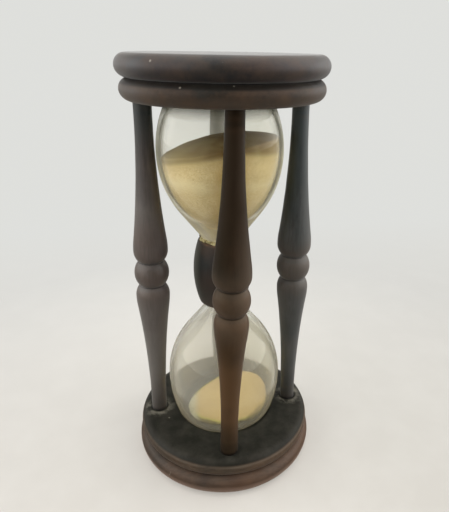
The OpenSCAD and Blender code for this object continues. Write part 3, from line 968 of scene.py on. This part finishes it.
def sandMaterial(name, look):
    material, tree, place, shader = newMaterial(name)
    spot = split(place)
    toGrain, picks = cells(place, 3500.0)
    shades = look["grains"]
    colour = ramp(picks[0], *[(i / (len(shades) - 1), shade) for i, shade in enumerate(shades)])
    colour = mixColour(0.55, colour, shades[-2])
    drift = clouds(place, 110.0, 5)
    colour = lay(colour, shades[0], ramp(drift, (0.35, 0.0), (0.7, 0.25)))
    sway = waver(drift, 0.006)
    # dark specks all over
    toSpeck, picks = cells(place, 420.0)
    rare = picks[1]
    specks = multiply(ramp(toSpeck, (0.12, 1.0), (0.2, 0.0)),
                      ramp(rare, (look["clean"], 0.0), (look["clean"] + 0.02, 0.8)))
    onTop = 1.0
    if "topShadeLayers" in look:
        colour, onTop = pouredLineAndShadeTones(tree, place, spot, drift, sway, colour, look)
    if "wallRing" in look:
        colour, thin = rimTones(tree, place, spot, drift, sway, colour, look)
        more = multiply(ramp(toSpeck, (0.2, 1.0), (0.35, 0.0)),
                        ramp(multiply(thin, rare), (0.3, 0.0), (0.4, 0.7)))
        specks = maths("MAXIMUM", specks, more)
    # paler at the heap's left end, which in the upper bulb takes some of the painted shade off the heap's top
    start, end, tone, most = look["leftEnd"]
    leftEnd = band(maths("ADD", spot["X"], multiply(sway, 0.6)), start, end, most)
    colour = lay(colour, tone, leftEnd, onTop)
    colour = lay(colour, look["speck"], specks)
    setFinish(shader, colour, {"Roughness": 0.9, "Specular IOR Level": 0.25})
    addBump(shader, toGrain, 0.6, 0.0001, invert=True)
    return material


def heapHeart(look):
    x, y, z = look["heapTop"]
    return Vector((x * mm, y * mm, (look["floorZ"] + z - look["heapR"]) * mm))


def sandBody(which, name):
    look = sandSettings[which]
    length = (lowerLength if which == "lower" else upperLength) - sandSettings["short"]
    outline = bulbOutline(bulbShape(which, True), length, -sandSettings["gap"])
    sand = turnPiece(name, outline + [(0, length)], sandSettings["steps"])
    if which == "upper":
        settle(sand, turnedOver)
    # only what lies under the rounded top of the heap is kept
    deselectAll()
    segments, rings = sandSettings["heapSteps"]
    bpy.ops.mesh.primitive_uv_sphere_add(segments=segments, ring_count=rings, radius=look["heapR"] * mm,
                                         location=heapHeart(look))
    heap = bpy.context.active_object
    heap.rotation_euler.z = math.radians(look["turn"])
    heap.scale.x = look["long"]
    heap.scale.y = look["wide"]
    carve(sand, heap, "INTERSECT")
    settle(sand, glassPlace)
    applyModifier(sand, "REMESH", mode="VOXEL", voxel_size=look["voxel"] * mm)
    return sand


def markDepth(sand, look):
    # how deep each point lies under the heap's top
    heart = glassPlace @ heapHeart(look)
    depth = sand.data.attributes.new("depth", "FLOAT", "POINT")
    for v, value in zip(sand.data.vertices, depth.data):
        value.value = look["heapR"] - (v.co - heart).length / mm


def markThinness(sand, fullDepth=2.5, tallest=20):
    # how thinly each point lies over the glass
    thinness = sand.data.attributes.new("thinness", "FLOAT", "POINT")
    shell = [q for q in bulbOutline(bulbShape("lower", True), lowerLength, 0.0, 8) if q[1] < tallest]
    glassBack = glassPlace.inverted()
    for v, value in zip(sand.data.vertices, thinness.data):
        spot = glassBack @ v.co
        reach = math.hypot(spot.x, spot.y) / mm
        under = max([q[1] for q in shell if q[0] <= reach] or [0])
        value.value = max(0.0, 1.0 - (spot.z / mm - under) / fullDepth)


sandTexture = cloudTexture("sandLumps", 0.006, 3)
# a tone's share comes before it, or after the two limits between which it comes in; the line has its height
sandLooks = {
    "upper": {
        "grains": [(0.5, 0.34, 0.12, 1), (0.72, 0.54, 0.24, 1), (0.92, 0.76, 0.43, 1), (0.98, 0.86, 0.55, 1)],
        "speck": (0.1, 0.07, 0.03, 1), "clean": 0.97, "line": (0.1605, (0.98, 0.86, 0.55, 1)),
        # a painted shadow of the front post, then painted shade of the top disc over the heap's top, layer by
        # layer
        "postShadow": (0.6, (0.6, 0.4, 0.12, 1)),
        "topShadeLayers": [(8.0, 0.0, 6.0, ((0.46, 0.34, 0.14, 1), (0.54, 0.42, 0.2, 1)), 0.6),
                   (3.6, 0.3, 0.9, ((0.16, 0.088, 0.022, 1), (0.25, 0.185, 0.07, 1)), 0.93)],
        # the two tones for the far edge are painted light
        "rightTan": (0.45, (0.6, 0.48, 0.23, 1)), "farEdgeLight": (0.9, (0.52, 0.49, 0.37, 1)),
        "farthestLight": (0.9, (0.85, 0.83, 0.7, 1)), "neck": (0.6, (0.58, 0.53, 0.2, 1)),
        "leftEnd": (-0.003, -0.024, (0.42, 0.34, 0.17, 1), 0.9),
    },
    "lower": {
        "grains": [(0.5, 0.33, 0.1, 1), (0.68, 0.49, 0.2, 1), (0.8, 0.59, 0.27, 1), (0.9, 0.72, 0.38, 1)],
        "speck": (0.1, 0.07, 0.03, 1), "clean": 0.96,
        "thin": (0.56, 0.5, 0.13, 1), "rimSway": 0.5, "rimDark": (0.85, (0.15, 0.12, 0.045, 1)),
        "wallRing": (0.0198, 0.0225, (0.17, 0.14, 0.06, 1), 0.85),
        "leftEnd": (-0.0145, -0.0185, (0.66, 0.62, 0.44, 1), 0.9),
    },
}
for which in ("upper", "lower"):
    settings = sandSettings[which]
    sand = sandBody(which, which + "Sand")
    if which == "upper":
        markDepth(sand, settings)
    else:
        markThinness(sand)
    shift(sand, sandTexture, settings["lumps"], 0.6)
    smooth(sand, 60)
    finishPiece(sand, sandMaterial(which + "SandGrains", sandLooks[which]), "sand", which + "_sand")
print("sand made")

# barrel over the necks

barrelSettings = {"length": 36.5, "middleD": 30.8, "bowR": 54.0, "edgeR": 2.2, "lip": 0.5, "bore": 7.6,
                  "boreRings": 24, "steps": 120}
flatPoints = 6      # of a bulb's outline, which lie on its flat end


def outlineRadius(outline, z):
    for (x0, z0), (x1, z1) in zip(outline, outline[1:]):
        if min(z0, z1) <= z <= max(z0, z1) and z1 != z0:
            return x0 + (x1 - x0) * (z - z0) / (z1 - z0)
    return 0.0


middle = lowerLength + glassSettings["orificeT"] / 2
b = barrelSettings
half = b["length"] / 2
cornerZ = half - b["edgeR"]
cornerX = b["middleD"] / 2 - b["bowR"] + math.sqrt((b["bowR"] - b["edgeR"]) ** 2 - cornerZ ** 2)
sideTurn = math.degrees(math.asin(cornerZ / (b["bowR"] - b["edgeR"])))
outside = (arcPoints(cornerX, -cornerZ, b["edgeR"], -90, -sideTurn, 10)
           + arcPoints(b["middleD"] / 2 - b["bowR"], 0, b["bowR"], -sideTurn, sideTurn, 26)
           + arcPoints(cornerX, cornerZ, b["edgeR"], sideTurn, 90, 10))
lowerGlassLine = bulbOutline(bulbShape("lower", False), lowerLength, b["lip"])[flatPoints:]
upperGlassLine = [(x, glassLength - z)
                  for x, z in bulbOutline(bulbShape("upper", False), upperLength, b["lip"])[flatPoints:]]
bore = []
for i in range(b["boreRings"] + 1):
    z = middle + half - b["length"] * i / b["boreRings"]
    fits = outlineRadius(upperGlassLine if z > middle else lowerGlassLine, z)
    bore.append((max(b["bore"], fits), z - middle))
barrel = turnPiece("neckBarrel", outside + bore + [outside[0]], b["steps"])
settle(barrel, glassPlace @ Matrix.Translation((0, 0, middle * mm)))
smooth(barrel, 40)
finishPiece(barrel, woodMaterial("barrelWood", {**darkStain, **barrelWood}), "barrel_wood", "neck_barrel")
print("barrel made")

# dried putty at both ends of the barrel, and the finishes of the hidden CAD pieces

def crumblyMaterial(name, look):
    material, _, place, shader = newMaterial(name)
    crumbs = clouds(place, look["scale"], look["detail"])
    setFinish(shader, ramp(crumbs, *look["tones"]),
              {"Roughness": look["rough"], "Metallic": look["metal"]})
    if look["bump"]:
        addBump(shader, crumbs, *look["bump"])
    return material


putty = {"scale": 600.0, "detail": 6, "rough": 0.85, "metal": 0.0, "bump": (0.6, 0.0004)}
yellowPutty = {**putty, "tones": (
    (0.36, (0.1, 0.075, 0.035, 1)), (0.48, (0.42, 0.36, 0.17, 1)), (0.7, (0.54, 0.48, 0.27, 1)))}
palePutty = {**putty, "tones": (
    (0.36, (0.2, 0.185, 0.14, 1)), (0.48, (0.42, 0.4, 0.32, 1)), (0.7, (0.6, 0.58, 0.5, 1)))}
pressedFelt = {"scale": 1400.0, "detail": 4, "rough": 0.95, "metal": 0.0, "bump": (0.7, 0.0003),
               "tones": ((0.3, (0.07, 0.065, 0.04, 1)), (0.7, (0.17, 0.155, 0.1, 1)))}
dullBrass = {"scale": 500.0, "detail": 5, "rough": 0.45, "metal": 1.0, "bump": None,
             "tones": ((0.3, (0.3, 0.2, 0.08, 1)), (0.7, (0.62, 0.45, 0.18, 1)))}
crustShape = {"steps": (160, 14), "gap": 0.1}
crustSettings = {
    "mouthCrust": {"line": upperGlassLine, "z": half, "thick": 1.4, "lift": 0.3, "lumps": 2.8, "flat": 0.8,
                   "look": yellowPutty},
    "lowerCrust": {"line": lowerGlassLine, "z": -half, "thick": 0.8, "lift": -0.4, "lumps": 2.6, "flat": 1.3,
                   "look": palePutty},
}
crumbTexture = cloudTexture("crumbs", 0.0022, 3)
for name, c in crustSettings.items():
    mouthR = outlineRadius(c["line"], middle + c["z"]) + crustShape["gap"]
    around, across = crustShape["steps"]
    deselectAll()
    bpy.ops.mesh.primitive_torus_add(major_segments=around, minor_segments=across, major_radius=mouthR * mm,
                                     minor_radius=c["thick"] * mm, location=(0, 0, 0))
    crust = bpy.context.active_object
    crust.name = crust.data.name = name
    crust.scale.z = c["flat"]
    settle(crust, crust.matrix_world)
    settle(crust, glassPlace @ Matrix.Translation((0, 0, (middle + c["z"] + c["lift"]) * mm)))
    shift(crust, crumbTexture, c["lumps"], 0.55)
    smooth(crust, 60)
    finishPiece(crust, crumblyMaterial(name + "Putty", c["look"]), "putty")
print("putty made")

for nodes, name, look in ((("orifice_disc",), "dullBrass", dullBrass),
                          (("lower_neck_putty", "upper_neck_putty"), "driedPutty", yellowPutty),
                          (("lower_pad", "upper_pad"), "pressedFelt", pressedFelt)):
    material = crumblyMaterial(name, look)
    for node in nodes:
        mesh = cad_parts[node].data
        mesh.materials.clear()
        mesh.materials.append(material)
print("finishes set")
